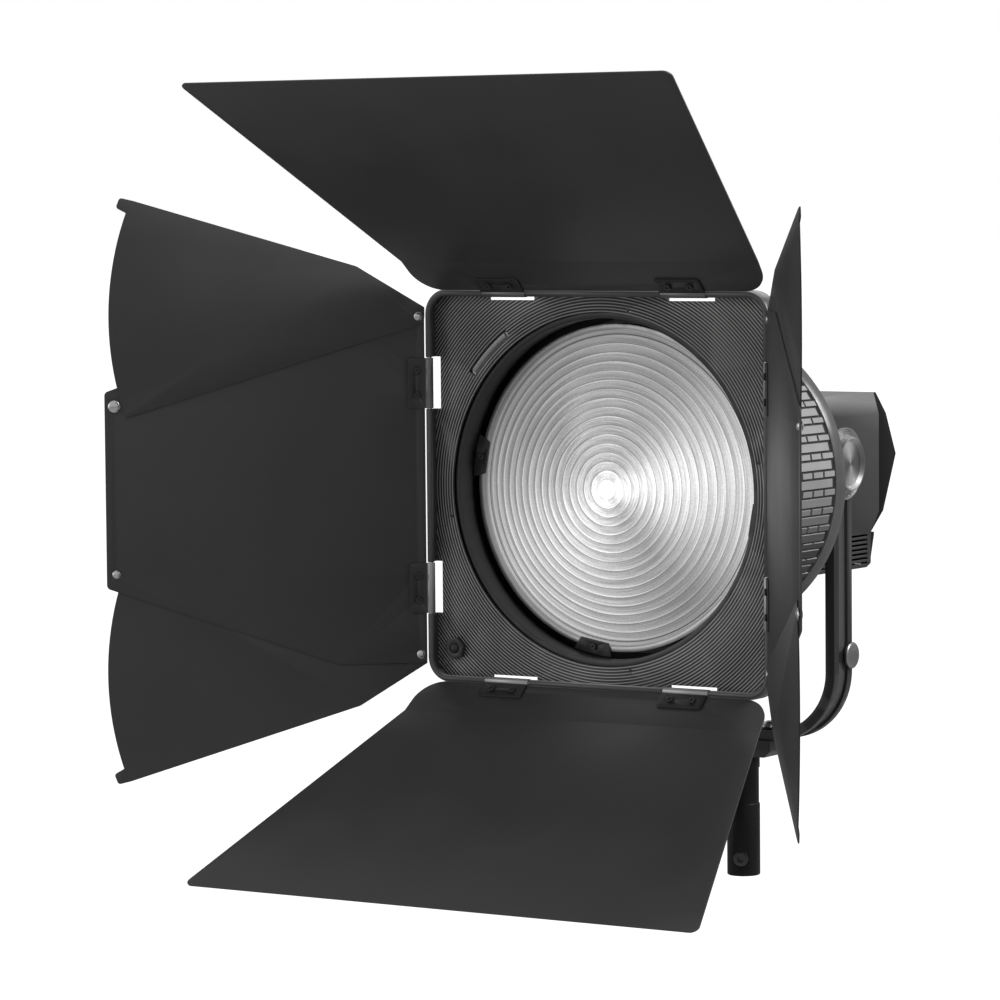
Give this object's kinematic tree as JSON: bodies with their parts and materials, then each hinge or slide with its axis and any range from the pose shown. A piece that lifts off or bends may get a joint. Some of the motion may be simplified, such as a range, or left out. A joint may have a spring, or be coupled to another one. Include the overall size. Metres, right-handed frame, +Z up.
{
  "type": "fresnel spotlight",
  "caption": "Fresnel spotlight with a domed stepped lens, ribbed focus ring, four hinged barn doors with fan flaps, and a tilting yoke on a stand socket.",
  "frame": {"origin": "centre of the stand socket's open mouth, on the socket's axis", "axes": "+Z up along the stand spigot, the light shines towards -Y, +X to the right of somebody looking into the lens"},
  "size_m": [0.6684, 0.6303, 0.663],
  "materials": {
    "anodised_black": "black anodised, turned",
    "bare_aluminium": "bare milled",
    "black_steel": "fine matt black powder coat",
    "board_green": "solder mask",
    "bright_steel": "bright turned steel",
    "cell_grey": "satin anodised",
    "dark_plastic": "moulded",
    "door_black": "matt black paint",
    "grip_rubber": "moulded rubber",
    "housing_grey": "satin dark grey paint",
    "led_yellow": "phosphor",
    "lens_glass": "clear moulded glass",
    "reflector_bright": "polished",
    "screen": "gloss window"
  },
  "bodies": {
    "yoke": {"stand_socket": "anodised_black", "yoke_frame": "black_steel", "base_bracket": "black_steel", "base_bolts": "bright_steel", "socket_bolt": "bright_steel", "yoke_washers": "black_steel", "channel_plug": "black_steel", "left_pivot_bolt": "bright_steel"},
    "head": {"tilt_bosses": "anodised_black", "lamp_housing": "housing_grey", "rear_cover": "housing_grey", "display_window": "screen", "control_board": "board_green", "power_sockets": "dark_plastic", "fan_frame": "dark_plastic", "heat_sink": "bare_aluminium", "led_board": "bare_aluminium", "led_emitter": "led_yellow", "led_reflector": "reflector_bright", "rear_cone": "housing_grey", "main_barrel": "anodised_black", "guide_rods": "bright_steel", "guide_rod_ring": "black_steel"},
    "socket_lock": {"socket_lock_screw": "bright_steel"},
    "thumb_screw": {"arm_thumb_screw": "bright_steel"},
    "tilt_lock": {"tilt_knob": "bright_steel"},
    "dial": {"control_dial": "dark_plastic"},
    "button_menu": {"menu_button": "dark_plastic"},
    "button_mode": {"mode_button": "dark_plastic"},
    "button_fan": {"fan_button": "dark_plastic"},
    "power_rocker": {"power_switch_rocker": "dark_plastic"},
    "fan": {"fan_rotor": "dark_plastic"},
    "focus_ring": {"focus_ring_core": "anodised_black", "focus_grip": "grip_rubber"},
    "lens_carriage": {"fresnel_lens": "lens_glass", "lens_holder": "cell_grey", "lens_clips": "anodised_black"},
    "door_frame": {"door_plate": "black_steel", "hinge_rods": "bright_steel", "rotating_collar": "anodised_black", "retaining_ring": "anodised_black", "plate_fasteners": "bright_steel", "brake_spring": "black_steel"},
    "door_left": {"left_door": "door_black", "left_door_hinges": "door_black", "left_door_rivets": "bright_steel"},
    "door_right": {"right_door": "door_black", "right_door_hinges": "door_black", "right_door_rivets": "bright_steel"},
    "door_top": {"top_door": "door_black", "top_door_hinges": "door_black", "top_door_screws": "door_black"},
    "door_bottom": {"bottom_door": "door_black", "bottom_door_hinges": "door_black", "bottom_door_screws": "door_black"},
    "flap_left_upper": {"left_upper_flap": "door_black"},
    "flap_left_lower": {"left_lower_flap": "door_black"},
    "flap_right_upper": {"right_upper_flap": "door_black"},
    "flap_right_lower": {"right_lower_flap": "door_black"}
  },
  "joints": [
    {"name": "head_tilt", "type": "hinge", "parent": "yoke", "child": "head", "pos_m": [0, 0, 0.35], "axis": [-1, 0, 0], "range_deg": [-12, 75]},
    {"name": "socket_lock", "type": "slide", "parent": "yoke", "child": "socket_lock", "axis": [0.3256, -0.9455, 0], "range_m": [0, 0.003]},
    {"name": "thumb_screw_turn", "type": "hinge", "parent": "yoke", "child": "thumb_screw", "pos_m": [0.0962, 0.0122, 0.1895], "axis": [1, 0, 0], "range_deg": [-360, 360]},
    {"name": "tilt_lock_turn", "type": "hinge", "parent": "yoke", "child": "tilt_lock", "pos_m": [0.1, 0, 0.35], "axis": [1, 0, 0], "range_deg": [-180, 180]},
    {"name": "dial_turn", "type": "hinge", "parent": "head", "child": "dial", "pos_m": [0, 0.1279, 0.33648], "axis": [0, 0.8982, -0.4396], "continuous": true},
    {"name": "menu_press", "type": "slide", "parent": "head", "child": "button_menu", "axis": [0, -0.8982, 0.4396], "range_m": [0, 0.0012], "stiffness_N_per_m": 400},
    {"name": "mode_press", "type": "slide", "parent": "head", "child": "button_mode", "axis": [0, -0.8982, 0.4396], "range_m": [0, 0.0012], "stiffness_N_per_m": 400},
    {"name": "fan_press", "type": "slide", "parent": "head", "child": "button_fan", "axis": [0, -0.8982, 0.4396], "range_m": [0, 0.0012], "stiffness_N_per_m": 400},
    {"name": "power_switch", "type": "hinge", "parent": "head", "child": "power_rocker", "pos_m": [0.025, 0.1075, 0.2705], "axis": [1, 0, 0], "range_deg": [0, 14]},
    {"name": "fan_spin", "type": "hinge", "parent": "head", "child": "fan", "pos_m": [0, 0.072, 0.339], "axis": [0, 1, 0], "continuous": true},
    {"name": "focus_turn", "type": "hinge", "parent": "head", "child": "focus_ring", "pos_m": [0, -0.1, 0.339], "axis": [0, 1, 0], "range_deg": [0, 120]},
    {"name": "lens_travel", "type": "slide", "parent": "head", "child": "lens_carriage", "axis": [0, 1, 0], "range_m": [0, 0.03]},
    {"name": "door_frame_turn", "type": "hinge", "parent": "head", "child": "door_frame", "pos_m": [0, -0.226, 0.339], "axis": [0, 1, 0], "continuous": true},
    {"name": "door_left_swing", "type": "hinge", "parent": "door_frame", "child": "door_left", "pos_m": [-0.157, -0.237, 0.339], "axis": [0, 0, -1], "range_deg": [-105.4, 44.6]},
    {"name": "door_right_swing", "type": "hinge", "parent": "door_frame", "child": "door_right", "pos_m": [0.157, -0.237, 0.339], "axis": [0, 0, 1], "range_deg": [-65.5, 60.5]},
    {"name": "door_top_swing", "type": "hinge", "parent": "door_frame", "child": "door_top", "pos_m": [0, -0.237, 0.496], "axis": [1, 0, 0], "range_deg": [-63, 52]},
    {"name": "door_bottom_swing", "type": "hinge", "parent": "door_frame", "child": "door_bottom", "pos_m": [0, -0.237, 0.182], "axis": [-1, 0, 0], "range_deg": [-65.8, 94.2]},
    {"name": "flap_left_upper_fold", "type": "hinge", "parent": "door_left", "child": "flap_left_upper", "pos_m": [-0.1637, -0.24255, 0.4769], "axis": [0.6374, -0.7705, 0], "range_deg": [0, 33]},
    {"name": "flap_left_lower_fold", "type": "hinge", "parent": "door_left", "child": "flap_left_lower", "pos_m": [-0.1637, -0.24255, 0.2011], "axis": [-0.6374, 0.7705, 0], "range_deg": [0, 31]},
    {"name": "flap_right_lower_fold", "type": "hinge", "parent": "door_right", "child": "flap_right_lower", "pos_m": [0.16193, -0.24417, 0.2011], "axis": [-0.8241, -0.5664, 0], "range_deg": [0, 33]},
    {"name": "flap_right_upper_fold", "type": "hinge", "parent": "door_right", "child": "flap_right_upper", "pos_m": [0.16193, -0.24417, 0.4769], "axis": [0.8241, 0.5664, 0], "range_deg": [-2.4, 30.6]}
  ],
  "couplings": [
    {"joint": "lens_travel", "follows": "focus_turn", "m_per_rad": 0.014324}
  ]
}
